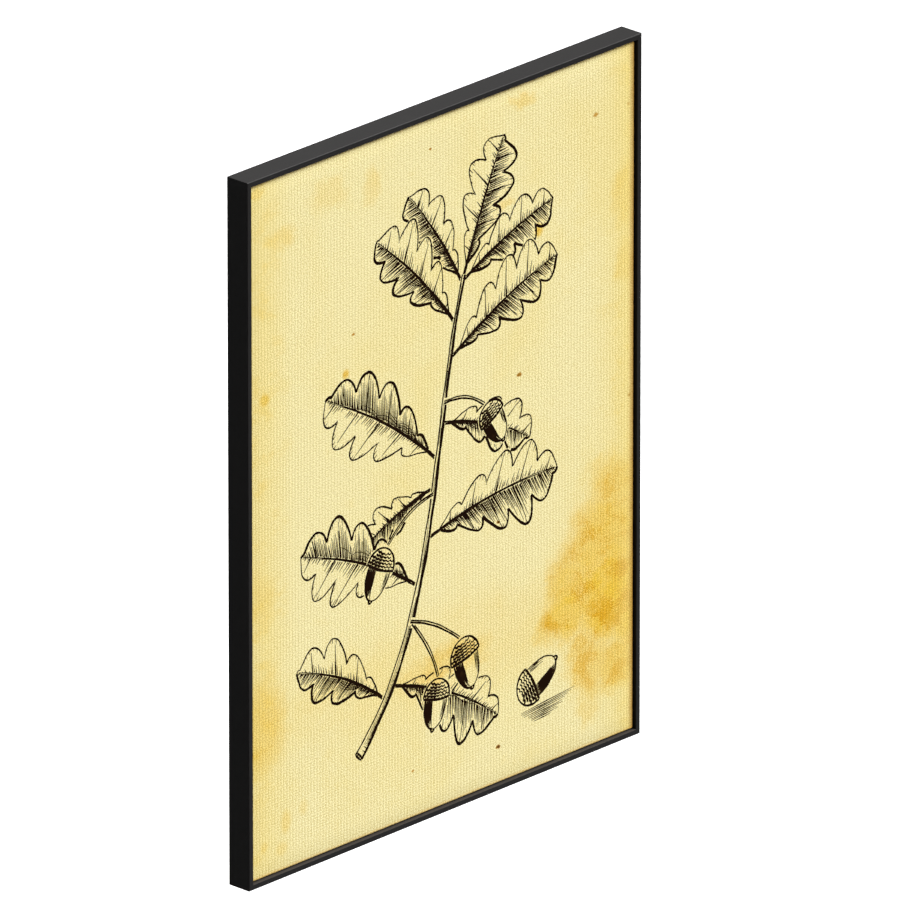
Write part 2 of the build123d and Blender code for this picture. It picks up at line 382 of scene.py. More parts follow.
for stain_across, stain_up, half_width, half_height, strength in stains:
    start = strayed if half_width > small_stain else coords
    reach = spot_reach(start, stain_across, stain_up, half_width, half_height)
    stain = (reach.fall(0.36, 1.20) * strength).most(stain)
grain = coords.stretch(0.72, 1.0, 1.0).noise(700.0, detail=1.0, roughness=0.6)
blotches = (fine_clouds + (0.5 - grain) * 0.25).rise(0.38, 0.62)
islands = coords.stretch(0.75, 1.0, 1.0).noise(22.0, detail=7.0, roughness=0.74)
islands = (islands + (0.5 - grain) * 0.40).rise(0.46, 0.59)
sheet_colour = (stain * (0.78 + islands * 0.14 + blotches * 0.16)).blend(sheet_colour, parchment_ochre)
deepest = stain.rise(0.40, 0.95) * islands * (0.57 + blotches * 0.40)
sheet_colour = deepest.blend(sheet_colour, stain_and_edge_shade_orange)
soaked_grain = stain.rise(0.10, 0.60) * grain.fall(0.38, 0.52) * 0.24
sheet_colour = soaked_grain.blend(sheet_colour, stain_and_edge_shade_orange)
fox = 0.0
ragged = coords.noise(220.0, detail=2.0) - 0.5
for speck_across, speck_up, radius, strength in specks:
    reach = spot_reach(coords, speck_across, speck_up, radius / 0.75, radius / 1.1) + ragged * 1.5
    fox = (reach.fall(0.30, 1.0) * strength).most(fox)
sheet_colour = fox.rise(0.0, 0.70).blend(sheet_colour, speck_orange)
sheet_colour = fox.rise(0.66, 1.0).blend(sheet_colour, speck_brown)
# Painted shade from the right lip: a wide warmer band and a darker brown rim along the canvas's right edge
right_gap = canvas_size.x / 2 - across + (fine_clouds - 0.5) * 0.006
sheet_colour = (right_gap.fall(0.0, 0.050) * 0.50).blend(sheet_colour, parchment_warm_and_edge_shade)
sheet_colour = (right_gap.fall(-0.001, 0.016) ** 1.5 * 0.92).blend(sheet_colour, right_edge_painted_shade)
# Painted shade from the top and bottom lips: a warm orange band along those edges, stronger at the bottom
ragged_gap = level_gap + (fine_clouds - 0.5) * 0.004
below = up.fall(-0.1, 0.1)
sheet_colour = (ragged_gap.fall(-0.001, 0.006) * (0.28 + below * 0.32)).blend(sheet_colour, stain_and_edge_shade_orange)
# Painted light and shade of the weave: the threads' ridges and crossings are lightened and darkened in the
# colour as well as bumped, and the grain noise is uneven tone of the cloth
ends, picks = weave(coords, *print_pitches, print_slub)
crossing = (ends - 0.5) * (picks - 0.5)
tooth = (ends - 0.5) * 0.40 + (picks - 0.5) * 0.22 + crossing * 0.90 + (grain - 0.5) * 4.0 + 0.5
thread_tone = tooth.blend(thread_shade_and_dark_grain, thread_highlight_and_pale_grain)
sheet_colour = sheet_colour.node("VectorMath", {0: sheet_colour, 1: thread_tone}, operation="MULTIPLY")
beyond = edge_gap - print_turn + (fine_clouds - 0.5) * 0.001
on_back = coords.axis("Y").rise(canvas_high.y - 0.0008, canvas_high.y - 0.0004)
primed = on_back * beyond.rise(-0.0004, 0.0004)
fine_ends, fine_picks = weave(coords, *fine_pitches, fine_slub)
fine_threads = fine_ends * fine_picks
# The primed return on the back, with painted shade darkening the hollows between its fine threads
sheet_colour = primed.blend(sheet_colour, fine_threads.blend(primed_hollow_shade, primed_white))
plug(shader, "Base Color", sheet_colour)
plug(shader, "Roughness", 0.80 - ends * picks * 0.12)
shader.inputs["Specular IOR Level"].default_value = 0.12
threads = (ends * 0.6 + picks * 0.4) * (1.0 - primed) + fine_threads * primed * 0.5
emboss(shader, threads, cloth_relief)
canvas.data.materials.append(printed)

cotton_dull = (0.70, 0.63, 0.50)
cotton_pale = (0.80, 0.74, 0.62)
cotton_hollow_shade = (0.45, 0.39, 0.29)
slub_pale = (0.88, 0.83, 0.72)
husk_brown = (0.30, 0.21, 0.12)
raw_relief = 0.00018
raw, shader, coords = new_finish("raw_canvas_back")
ends, picks = weave(coords, *fine_pitches, fine_slub)
slubs = coords.stretch(1.0, 1.0, 0.06).noise(420.0, detail=2.0).rise(0.58, 0.72)
slubs_across = coords.stretch(0.06, 1.0, 1.0).noise(420.0, detail=2.0).rise(0.60, 0.74)
cotton = coords.noise(3.0, detail=3.0).blend(cotton_dull, cotton_pale)
# Painted shade in the hollows between the threads
cotton = ((1.0 - ends * picks) * 0.28).blend(cotton, cotton_hollow_shade)
cotton = (slubs.most(slubs_across) * 0.22).blend(cotton, slub_pale)
husks = coords.node("TexVoronoi", {"Vector": coords, "Scale": 42.0}).fall(0.035, 0.055)
cotton = (husks * 0.55).blend(cotton, husk_brown)
plug(shader, "Base Color", cotton)
plug(shader, "Roughness", 0.92 - ends * 0.06)
shader.inputs["Specular IOR Level"].default_value = 0.1
emboss(shader, ends * 0.5 + picks * 0.5 + slubs * 0.5, raw_relief)
canvas.data.materials.append(raw)

# The cloth's thickness, with its raw side inward
only(canvas)
wall = canvas.modifiers.new("wall", "SOLIDIFY")
wall.thickness = cloth_thickness
wall.offset = -1.0
wall.material_offset = 1
wall.material_offset_rim = 1
bpy.ops.object.modifier_apply(modifier="wall")
bpy.ops.object.shade_smooth_by_angle(angle=math.radians(40))


def lay_out(name, points, faces):
    """A new piece from its points and faces, with every face turned outwards and selected."""
    mesh = bpy.data.meshes.new(name)
    mesh.from_pydata(points, [], faces)
    made = bpy.data.objects.new(name, mesh)
    bpy.context.collection.objects.link(made)
    only(made)
    bpy.ops.object.mode_set(mode="EDIT")
    bpy.ops.mesh.select_all(action="SELECT")
    bpy.ops.mesh.normals_make_consistent(inside=False)
    bpy.ops.object.mode_set(mode="OBJECT")
    return made


# Corner folds, where the spare cloth is tucked over the level returns and shows as a doubled wedge
fold_length = 0.016
fold_edge = 0.00025
fold_heights = (-0.0002, 0.0007)
thin_end = 0.0001
open_half = Vector((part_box("frame_rail_right")[0][0], 0.0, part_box("frame_rail_top")[0][2])) - canvas_middle
cloth_half = canvas_size / 2 - Vector((cloth_return, 0.0, cloth_return))
fold_points, fold_faces = [], []
for side, level in ((1, 1), (1, -1), (-1, 1), (-1, -1)):
    first = len(fold_points)
    wedge = ((open_half, 0.0), (cloth_half, 0.0), (cloth_half, fold_length), (open_half, fold_length))
    for half, along in wedge:
        for height in (fold_heights[0], thin_end if along else fold_heights[1]):
            fold_points.append((canvas_middle.x + side * (half.x - along), canvas_high.y + height,
                                canvas_middle.z + level * half.z))
    for corners in ((0, 2, 4, 6), (1, 7, 5, 3), (0, 1, 3, 2), (2, 3, 5, 4), (4, 5, 7, 6), (6, 7, 1, 0)):
        fold_faces.append([first + corner for corner in corners])
folds = lay_out("corner_folds", fold_points, fold_faces)
bpy.ops.object.mode_set(mode="EDIT")
bpy.ops.mesh.bevel(offset=fold_edge, segments=3)
bpy.ops.object.mode_set(mode="OBJECT")
bpy.ops.object.shade_smooth_by_angle(angle=math.radians(50))
folds.data.materials.append(printed)
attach(folds, "picture")
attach(canvas, "picture")
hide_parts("canvas")

# Printed drawing
# A pen-and-ink study of an oak sprig with acorns, printed in dark brown ink. Each line is laid as a thin
# bead of ink on the cloth, heavier where the pen was pressed, and lines stop where a nearer leaf lies.
rng = np.random.default_rng(20)
nib = 2.0
finest_line = 0.35
ink_lines = {"leaf": [], "twig": [], "acorn": []}
nearer = []


def inside(points, outline):
    """Which points lie inside a closed outline."""
    x, y = points[:, :1], points[:, 1:]
    start_x, start_y = outline.T
    end_x, end_y = np.roll(outline, -1, axis=0).T
    crosses = (start_y > y) != (end_y > y)
    rise = np.where(end_y == start_y, 1.0, end_y - start_y)
    at = start_x + (end_x - start_x) * (y - start_y) / rise
    return (crosses & (x < at)).sum(axis=1) % 2 == 1


def pen(group, points, thick, shake=0.25):
    """Lay one stroke in millimetres: a hand's slow wobble, then only the runs that nothing nearer hides."""
    points = np.asarray(points, dtype=float)
    count = len(points)
    steps = np.linspace(0.0, count / 5.0, count)
    phase = rng.uniform(0.0, math.tau, 4)
    wobble = np.stack([np.sin(steps + phase[0]) + 0.6 * np.sin(steps * 2.3 + phase[1]),
                       np.sin(steps * 1.1 + phase[2]) + 0.6 * np.sin(steps * 2.7 + phase[3])], axis=1)
    points = points + wobble * shake
    thick = np.broadcast_to(np.asarray(thick, dtype=float), (count,)) * nib * rng.normal(1.0, 0.07, count)
    hidden = np.zeros(count, dtype=bool)
    for outline in nearer:
        hidden |= inside(points, outline)
    edges = np.flatnonzero(np.diff(np.concatenate([[1], hidden, [1]]).astype(int)))
    for first, last in zip(edges[::2], edges[1::2]):
        if last - first > 1:
            ink_lines[group].append((points[first:last], np.maximum(thick[first:last], finest_line)))


def curve(points, count):
    """A Bezier curve through its two end points."""
    t = np.linspace(0.0, 1.0, count)[:, None]
    a, b, c, d = (np.asarray(p, dtype=float) for p in points)
    return a * (1 - t) ** 3 + 3 * b * t * (1 - t) ** 2 + 3 * c * t ** 2 * (1 - t) + d * t ** 3


def swell(count, start, middle, end):
    """Pen pressure along a stroke."""
    t = np.linspace(0.0, 1.0, count)
    return np.interp(t, [0.0, 0.45, 1.0], [start, middle, end])


class OakLeaf:
    """A lobed leaf on a bent midrib. Its points are given by t along the midrib and r out to the margin."""

    crowding = 0.92

    def __init__(self, base, heading, length, bend, halves, lobes):
        self.base = np.asarray(base, dtype=float)
        self.length = length
        self.bend = bend
        self.halves = halves
        self.lobes = lobes
        angle = math.radians(heading)
        self.ahead = np.array([math.sin(angle), math.cos(angle)])
        self.aside = np.array([self.ahead[1], -self.ahead[0]])
        self.lobe_size = {side: rng.uniform(0.86, 1.08, lobes + 2) for side in (-1, 1)}
        self.lobe_shift = {side: rng.uniform(-0.10, 0.10) + 0.12 * side for side in (-1, 1)}

    def half_width(self, t, side):
        t = np.asarray(t, dtype=float)
        body = 0.285 * np.sin(math.pi * np.clip(t, 0.0, 1.0) ** 1.22) ** 0.78
        phase = self.lobes * t ** self.crowding + self.lobe_shift[side]
        lobe = np.abs(np.sin(math.pi * phase)) ** 0.62
        size = self.lobe_size[side][np.clip(np.floor(phase).astype(int), 0, self.lobes + 1)]
        return body * (0.40 + 0.60 * lobe * size) * self.halves[side]

    def spine(self, s):
        s = np.asarray(s, dtype=float)[..., None]
        return self.base + self.length * (s * self.ahead + self.bend * s * s * self.aside)

    def point(self, t, r, side):
        half = self.half_width(t, side) * np.asarray(r, dtype=float)
        s = np.asarray(t, dtype=float) + 0.42 * half
        along = self.ahead + 2.0 * self.bend * s[..., None] * self.aside
        along = along / np.linalg.norm(along, axis=-1, keepdims=True)
        out = np.stack([along[..., 1], -along[..., 0]], axis=-1) * side
        return self.spine(s) + out * (half * self.length)[..., None]

    def outline(self, grow=0.0):
        t = np.linspace(0.0, 1.0, 120)
        sides = []
        for side in (1, -1):
            half = np.maximum(self.half_width(t, side) * self.length, 1.0)
            sides.append(self.point(t, 1.0 + grow / half, side))
        return np.concatenate([sides[0], sides[1][::-1]])

    def vein_places(self, side):
        middles = (np.arange(self.lobes + 1) + 0.5 - self.lobe_shift[side]) / self.lobes
        return np.clip(middles[middles < 0.98], 0.02, 1.0) ** (1 / self.crowding)

    def draw(self, shaded):
        """Margin, midrib, veins and hatching, with the heavier tone on the shaded side."""
        count = 170
        for side in (1, -1):
            dark = side == shaded
            t = np.linspace(0.015, 1.0, count)
            heavy = 3.0 if dark else 1.8
            waves = np.sin(np.linspace(0.0, self.lobes * 2.1, count) + side) ** 2
            pen("leaf", self.point(t, np.ones(count), side), heavy * (0.75 + 0.35 * waves), shake=0.4)
            for place in self.vein_places(side):
                r = np.linspace(0.0, rng.uniform(0.84, 0.93), 16)
                pen("leaf", self.point(np.full(16, place), r, side), np.linspace(1.9, 0.7, 16))
            step = 3.0 if dark else 5.2
            for place in np.arange(0.06, 0.97, step / self.length):
                place = place + rng.uniform(-0.3, 0.3) * step / self.length
                far = rng.uniform(0.50, 0.90) if dark else rng.uniform(0.12, 0.42)
                near = rng.uniform(0.03, 0.08)
                r = np.linspace(near, far, 8)
                t = np.full(8, place) + 0.02 * r
                pen("leaf", self.point(t, r, side), np.linspace(1.45, 0.55, 8))
            if dark:
                for r in (0.10, 0.19, 0.28, 0.37):
                    start = rng.uniform(0.05, 0.12)
                    stop = rng.uniform(0.55, 0.85) - 0.5 * r
                    t = np.linspace(start, stop, 60)
                    pen("leaf", self.point(t, np.full(60, r), side), swell(60, 0.5, 0.95, 0.5))
            for place in np.arange(0.05, 0.95, 7.0 / self.length):
                r = np.linspace(1.0, rng.uniform(0.80, 0.94), 5)
                t = np.full(5, place + rng.uniform(-0.01, 0.01))
                pen("leaf", self.point(t, r, side), np.linspace(1.2, 0.5, 5))
        s = np.linspace(-0.02, 0.985, 60)
        pen("leaf", self.spine(s) + 0.9 * self.aside, np.linspace(3.4, 0.8, 60))
        pen("leaf", self.spine(s) - 0.9 * self.aside, np.linspace(2.0, 0.6, 60))


class Acorn:
    """A nut in a scaly cup. Its axis runs from the stalk towards the nut's tip, and its sizes are shares."""

    cup_rim = 0.36
    cup_half = 0.345
    cup_bulge = 0.045
    nut_start = 0.30
    nut_end = 0.96
    nut_half = 0.300

    def __init__(self, place, heading, length):
        self.place = np.asarray(place, dtype=float)
        angle = math.radians(heading)
        self.ahead = np.array([math.sin(angle), math.cos(angle)])
        self.aside = np.array([self.ahead[1], -self.ahead[0]])
        self.length = length

    def at(self, s, h):
        s, h = np.asarray(s, dtype=float), np.asarray(h, dtype=float)
        return self.place + self.length * (s[..., None] * self.ahead + h[..., None] * self.aside)

    def nut(self, s):
        """Half width of the nut, from its start inside the cup to its end."""
        t = (np.asarray(s, dtype=float) - self.nut_start) / (self.nut_end - self.nut_start)
        t = np.clip(t, 0.0, 1.0)
        return self.nut_half * np.sqrt(np.clip(1.0 - t ** 2.3, 0.0, 1.0)) * (1.0 - 0.05 * (1.0 - t) ** 2)

    def cup(self, s):
        """Half width of the cup, from the stalk to its rim."""
        t = np.clip(np.asarray(s, dtype=float) / self.cup_rim, 0.0, 1.0)
        return self.cup_half * np.sin(math.pi / 2 * t ** 0.62) ** 0.85

    def outline(self, grow=0.0):
        wide = grow / self.length
        cup_s = np.linspace(0.0, self.cup_rim, 24)
        nut_s = np.linspace(self.cup_rim, self.nut_end, 30)
        half = np.concatenate([self.cup(cup_s), self.nut(nut_s)]) + wide
        s = np.concatenate([cup_s, nut_s])
        s[0] -= wide
        s[-1] += 0.04 + wide
        return np.concatenate([self.at(s, half), self.at(s, -half)[::-1]])

    def draw(self):
        """Outline, shading and tip of the nut, then the cup's edge, rim and rows of scales."""
        s = np.linspace(self.cup_rim + 0.01, self.nut_end, 50)
        pen("acorn", self.at(s, self.nut(s)), swell(50, 2.0, 3.2, 2.2))
        pen("acorn", self.at(s, -self.nut(s)), swell(50, 1.2, 1.7, 1.4))
        tip = np.linspace(-1.0, 1.0, 9)
        pen("acorn", self.at(0.955 + 0.055 * (1 - tip ** 2), 0.05 * tip), 2.2)
        for lane in np.linspace(0.30, 0.95, 11):
            s = np.linspace(0.40, rng.uniform(0.80, 0.95), 26)
            pen("acorn", self.at(s, self.nut(s) * lane), swell(26, 0.8, 1.5 + lane * 1.3, 0.5))
        for lane in np.linspace(-0.92, -0.70, 4):
            s = np.linspace(0.42, rng.uniform(0.62, 0.80), 20)
            pen("acorn", self.at(s, self.nut(s) * lane), swell(20, 0.7, 1.0, 0.5))
        s = np.linspace(0.0, self.cup_rim, 30)
        for side in (1, -1):
            pen("acorn", self.at(s, side * self.cup(s)), swell(30, 1.8, 2.6, 2.2))
        h = np.linspace(-1.0, 1.0, 40)
        pen("acorn", self.at(self.cup_rim + self.cup_bulge * (1 - h ** 2), h * self.cup_half), 2.4)
        for row in range(6):
            level = 0.05 + row * 0.055
            wide = float(self.cup(level))
            scales = 4 + row
            for column in range(scales):
                middle = (column + 0.5 + 0.5 * (row % 2)) / scales * 2.0 - 1.0
                if abs(middle) > 0.93:
                    continue
                start = level + self.cup_bulge * (1 - middle ** 2)
                arc = np.linspace(-1.0, 1.0, 9)
                across = (middle + arc * 0.95 / scales) * wide
                along = start + 0.030 * (1 - arc ** 2)
                pen("acorn", self.at(along, across), 1.6 + 0.9 * (middle > 0.0), shake=0.15)
                if middle > -0.25:
                    s = np.linspace(start, start + 0.022, 4)
                    for tick in (-0.4, 0.0, 0.4):
                        place = (middle + tick / scales) * wide
                        pen("acorn", self.at(s, np.full(4, place)), 1.2, shake=0.1)


# The main twig, from its cut end to its top
twig_count = 220
twig = curve([(-205, -420), (-25, -240), (-45, 60), (28, 300)], twig_count)
twig_share = np.linspace(0.0, 1.0, twig_count)
twig_thick = np.interp(twig_share, [0.0, 0.06, 0.5, 1.0], [17.0, 13.5, 9.5, 5.0])
twig_ahead = np.gradient(twig, axis=0)
twig_ahead /= np.linalg.norm(twig_ahead, axis=1, keepdims=True)
twig_aside = np.stack([twig_ahead[:, 1], -twig_ahead[:, 0]], axis=1)


def twig_at(t):
    """Place and heading in degrees at a share of the twig's length."""
    index = int(t * (twig_count - 1))
    ahead = twig_ahead[index]
    return twig[index], math.degrees(math.atan2(ahead[0], ahead[1]))


# Acorns as columns: share of the twig, then the stalk's bend and end, across and up from the twig, and
# the acorn's heading and length
acorn_halo = 3.0
acorn_rows = [
    (0.300, (60, -18), (112, -62), 164, 92),
    (0.300, (48, -60), (62, -112), 190, 84),
    (0.560, (-58, -10), (-104, -58), 205, 88),
    (0.740, (52, 2), (92, -30), 150, 80),
]
stalks = []
for share, bend, end, heading, length in acorn_rows:
    place = twig_at(share)[0]
    elbow = np.array(bend)
    tip = place + np.array(end)
    acorn = Acorn(tip, heading, length)
    acorn.draw()
    nearer.append(acorn.outline(grow=acorn_halo))
    stalks.append(curve([place, place + elbow * 0.5, place + elbow, tip], 40))

# A fallen acorn below the sprig, with its shadow hatched under it
fallen_across = 150
fallen_up = -432
acorn = Acorn((fallen_across, fallen_up), 62, 96)
acorn.draw()
nearer.append(acorn.outline(grow=acorn_halo))
for row in range(9):
    start = fallen_across + 6 + row * 3.0 + rng.uniform(-4, 4)
    level = fallen_up - 26 - row * 2.6
    across = np.linspace(0.0, 118 - row * 9 + rng.uniform(-8, 8), 14)
    hatch = np.stack([start + across, level + across * 0.09], axis=1)
    pen("acorn", hatch, swell(14, 0.5, 1.3, 0.4))

stalk_half = 1.8
stalk_halo = 4.0
for stalk in stalks:
    count = len(stalk)
    ahead = np.gradient(stalk, axis=0)
    aside = np.stack([ahead[:, 1], -ahead[:, 0]], axis=1) / np.linalg.norm(ahead, axis=1, keepdims=True)
    pen("twig", stalk + aside * stalk_half, np.linspace(2.2, 1.8, count))
    pen("twig", stalk - aside * stalk_half, np.linspace(1.6, 1.3, count))
    nearer.append(np.concatenate([stalk + aside * stalk_halo, (stalk - aside * stalk_halo)[::-1]]))

# Bark: both edges of the twig, its cut end, and short curved ticks on the shaded side
for side, heavy in ((1, 3.0), (-1, 1.8)):
    rough = twig_thick / 2 + 0.8 * np.sin(np.linspace(0.0, 46.0, twig_count) + side)
    pen("twig", twig + twig_aside * (side * rough)[:, None], heavy)
bark_wave = 0.5 * np.sin(np.linspace(0.0, 70.0, twig_count))
for lane, heavy in ((0.82, 2.4), (0.62, 2.1), (0.42, 1.5), (0.10, 0.8), (-0.35, 0.7)):
    inner = twig + twig_aside * (lane * twig_thick / 2 + bark_wave)[:, None]
    start = 6
    while start < twig_count - 20:
        stop = min(start + int(rng.uniform(16, 60)), twig_count - 4)
        pen("twig", inner[start:stop], swell(stop - start, 0.5, heavy, 0.5), shake=0.2)
        start = stop + int(rng.uniform(1, 5 if lane > 0.5 else 22))
turn = np.linspace(0.0, math.tau, 30)
end_ring = np.stack([np.cos(turn) * 8.5, np.sin(turn) * 3.2], axis=1)
end_ring = end_ring @ np.stack([twig_aside[0], twig_ahead[0]])
pen("twig", twig[0] + end_ring, 2.0)
pen("twig", twig[0] + 0.45 * end_ring, 1.2)
for index in range(3, twig_count - 2, 2):
    span = rng.uniform(0.25, 0.95)
    across = np.linspace(1.0, 1.0 - 2.0 * span * 0.62, 6)
    lift = 1.4 * np.sin(np.linspace(0.0, math.pi, 6))
    start = twig[index] + twig_ahead[index] * rng.uniform(-1.0, 1.0)
    pen("twig", start + twig_aside[index] * (across * twig_thick[index] / 2)[:, None]
        + twig_ahead[index] * lift[:, None], np.linspace(1.5, 0.5, 6), shake=0.12)
twig_halo = 2.5
twig_reach = twig_aside * (twig_thick / 2 + twig_halo)[:, None]
nearer.append(np.concatenate([twig + twig_reach, (twig - twig_reach)[::-1]]))

# Leaves as columns: share of the twig, heading from it, stalk and blade lengths, bend,
# widths of the right and left halves, lobes, shaded side. The nearest comes first.
neck_half = 1.5
leaf_halo = 2.6
leaf_rows = [
    (0.470, 62, 26, 262, 0.16, 1.00, 0.84, 5, 1),
    (0.630, -58, 26, 268, -0.15, 0.86, 1.00, 5, 1),
    (0.160, 76, 22, 238, 0.20, 1.00, 0.72, 5, 1),
    (0.830, 48, 22, 236, 0.14, 0.78, 1.00, 5, 1),
    (0.370, -72, 26, 256, -0.18, 0.92, 1.00, 5, 1),
    (0.900, -50, 22, 226, -0.13, 1.00, 0.74, 5, -1),
    (1.000, 4, 14, 206, 0.05, 1.00, 0.92, 4, 1),
    (0.990, 46, 18, 196, 0.12, 0.90, 0.80, 4, 1),
    (0.985, -44, 18, 190, -0.12, 0.84, 0.94, 4, -1),
    (0.130, -84, 20, 196, -0.22, 1.00, 0.80, 4, -1),
    (0.700, 92, 20, 186, 0.20, 0.80, 0.96, 4, 1),
    (0.575, -112, 18, 148, -0.16, 0.92, 0.80, 4, -1),
]
for share, lean, stalk, length, bend, right_half, left_half, lobes, shaded in leaf_rows:
    place, heading = twig_at(share)
    angle = math.radians(heading + lean)
    base = place + stalk * np.array([math.sin(angle), math.cos(angle)])
    leaf = OakLeaf(base, heading + lean, length, bend, {1: right_half, -1: left_half}, lobes)
    leaf.draw(shaded)
    along = np.linspace(0.0, 1.0, 14)[:, None]
    neck = place * (1 - along) + base * along
    aside = leaf.aside * neck_half
    pen("leaf", neck + aside, np.linspace(2.6, 2.2, 14))
    pen("leaf", neck - aside, np.linspace(1.9, 1.6, 14))
    nearer.append(leaf.outline(grow=leaf_halo))

ink_dense = (0.0075, 0.0024, 0.0006)
ink_worn = (0.026, 0.012, 0.004)
ink, shader, coords = new_finish("printed_ink")
faded = coords.noise(70.0, detail=4.0, roughness=0.7).rise(0.52, 0.78)
plug(shader, "Base Color", faded.blend(ink_dense, ink_worn))
plug(shader, "Roughness", 0.82 + faded * 0.12)
shader.inputs["Specular IOR Level"].default_value = 0.02
ink_sunk = canvas_low.y + 0.00005
ink_crest = canvas_low.y - 0.00012
drawing_scale = 0.90
drawing_shift = np.array([15.0, -8.0])
for group, strokes in ink_lines.items():
    points, faces = [], []
    for line, thick in strokes:
        line = line * drawing_scale + drawing_shift
        ahead = np.gradient(line, axis=0)
        ahead /= np.maximum(np.linalg.norm(ahead, axis=1, keepdims=True), 1e-6)
        aside = np.stack([-ahead[:, 1], ahead[:, 0]], axis=1) * thick[:, None] / 2
        first = len(points)
        for edge, crest, other in zip(line + aside, line, line - aside):
            for spot, depth in ((edge, ink_sunk), (crest, ink_crest), (other, ink_sunk)):
                points.append((canvas_middle.x + spot[0] / 1000, depth, canvas_middle.z + spot[1] / 1000))
        for index in range(first, len(points) - 3, 3):
            ahead_of = index + 3
            faces.append((index, index + 1, ahead_of + 1, ahead_of))
            faces.append((index + 1, index + 2, ahead_of + 2, ahead_of + 1))
            faces.append((index + 2, index, ahead_of, ahead_of + 2))
        faces.append((first + 2, first + 1, first))
        faces.append((len(points) - 3, len(points) - 2, len(points) - 1))
    drawing = lay_out(f"ink_{group}_lines", points, faces)
    drawing.data.materials.append(ink)
    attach(drawing, "picture")

# Frame rails
# Four mitred lengths of a wooden L section, sprayed matt black on the face, the sides and inside. The back
# lay on the bench, so it is bare wood with a ragged black edge. The top and the lower ledge are painted
# lighter in uneven patches, as painted light from above.
paint_black = (0.0164, 0.0158, 0.0157)
paint_faded = (0.0200, 0.0193, 0.0191)
ledge_painted_light = (0.052, 0.047, 0.043)
top_painted_light = (0.0240, 0.0232, 0.0228)
bare_early = (0.70, 0.51, 0.31)
bare_late = (0.45, 0.27, 0.12)
bare_shade = (0.42, 0.25, 0.12)
rail_relief = 0.00005
lip_width = 0.008
frame_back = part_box("frame_rail_top")[1][1]
frame_low = Vector((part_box("frame_rail_left")[0][0], frame_front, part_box("frame_rail_bottom")[0][2]))
frame_high = Vector((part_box("frame_rail_right")[1][0], frame_back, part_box("frame_rail_top")[1][2]))


def rail_finish(name, along):
    """Black paint over wood with its grain along one axis, worn and patchy, with painted light on the top and
    the lower ledge, and bare at the back.
    """
    made, shader, coords = new_finish(name)
    grain = pine_grain(coords, along)
    level = 1.0 if along == "X" else 0.0
    orange_peel = coords.noise(900.0, detail=2.0)
    dust_and_light_patches = coords.noise(14.0, detail=5.0, roughness=0.7)
    middle = (frame_low + frame_high) / 2
    half = (frame_high - frame_low) / 2
    x = coords.axis("X") - middle.x
    z = coords.axis("Z") - middle.z
    gap = (half.x - x.math("ABSOLUTE", x)).least(half.z - z.math("ABSOLUTE", z))
    front_gap = coords.axis("Y") - frame_front
    arris = gap.fall(0.0002, 0.0010) * front_gap.fall(0.0002, 0.0010)
    ledge_gap = coords.axis("Z") - (frame_low.z + lip_width)
    ledge = ledge_gap.math("ABSOLUTE", ledge_gap).fall(0.0002, 0.0007)
    mist = coords.noise(2300.0, detail=2.0).rise(0.52, 0.66) * gap.fall(0.0006, 0.0100)
    ragged = gap + (coords.noise(120.0, detail=6.0, roughness=0.65) - 0.5) * 0.0035
    bare = coords.axis("Y").rise(frame_back - 0.0003, frame_back - 0.0001) * ragged.rise(0.0008, 0.0026)
    bare = bare * (1.0 - mist * 0.35)
    paint = dust_and_light_patches.rise(0.35, 0.85).blend(paint_black, paint_faded)
    # Painted light: the lower ledge and the top are lightened in uneven patches, standing in for the light
    # from above
    paint = (ledge * level * (0.6 + dust_and_light_patches * 0.8)).blend(paint, ledge_painted_light)
    top_side = coords.axis("Z").rise(frame_high.z - 0.0006, frame_high.z - 0.0001)
    paint = (top_side * (0.35 + dust_and_light_patches * 0.3)).blend(paint, top_painted_light)
    wood = grain.rise(0.05, 0.80).blend(bare_early, bare_late)
    wood = (dust_and_light_patches.rise(0.40, 0.75) * 0.35).blend(wood, bare_shade)
    plug(shader, "Base Color", bare.blend(paint, wood))
    plug(shader, "Roughness", 0.42 + dust_and_light_patches * 0.10 + bare * 0.25)
    plug(shader, "Coat Weight", arris * level * (0.45 + dust_and_light_patches * 0.30))
    shader.inputs["Coat Roughness"].default_value = 0.22
    shader.inputs["Specular IOR Level"].default_value = 0.02
    emboss(shader, grain * 0.4 + orange_peel * 0.3, rail_relief)
    return made


dress(rail_finish("black_rail_level", "X"), "frame_rail_top", "frame_rail_bottom")
dress(rail_finish("black_rail_upright", "Z"), "frame_rail_left", "frame_rail_right")

# Staples
# Thin bright wire staples that pin the turned cloth to the backs of the bars, fired by hand two or three
# fingers apart, so they sit at slightly uneven places and angles.
staple_crown = 0.0105
staple_wire = 0.0011
staple_height = 0.0006
staple_gap = 0.042
staple_inset = 0.0275
staple_round = 0.00022
clear_of_corner = 0.06
wire_dull = (0.30, 0.30, 0.29)
wire_bright = (0.44, 0.43, 0.42)
bpy.ops.object.select_all(action="DESELECT")
bpy.ops.mesh.primitive_cube_add(size=1.0)
staple = bpy.context.object
staple.scale = (staple_crown, staple_height, staple_wire)
bpy.ops.object.transform_apply(location=True, rotation=True, scale=True)
bpy.ops.object.mode_set(mode="EDIT")
bpy.ops.mesh.select_all(action="SELECT")
bpy.ops.mesh.subdivide(number_cuts=6)


def under_an_end(middle, face):
    """Faces on the cloth's side, next to the crown's two ends."""
    return face.normal.y < -0.9 and abs(middle.x) > staple_crown * 0.36


pick(staple, "FACE", under_an_end)
bpy.ops.mesh.extrude_region_move(TRANSFORM_OT_translate={"value": (0.0, -staple_height * 1.5, 0.0)})
bpy.ops.object.mode_set(mode="OBJECT")
round_off = staple.modifiers.new("round_off", "BEVEL")
round_off.width = staple_round
round_off.segments = 2
round_off.limit_method = "ANGLE"
bpy.ops.object.modifier_apply(modifier="round_off")
bpy.ops.object.shade_smooth_by_angle(angle=math.radians(50))

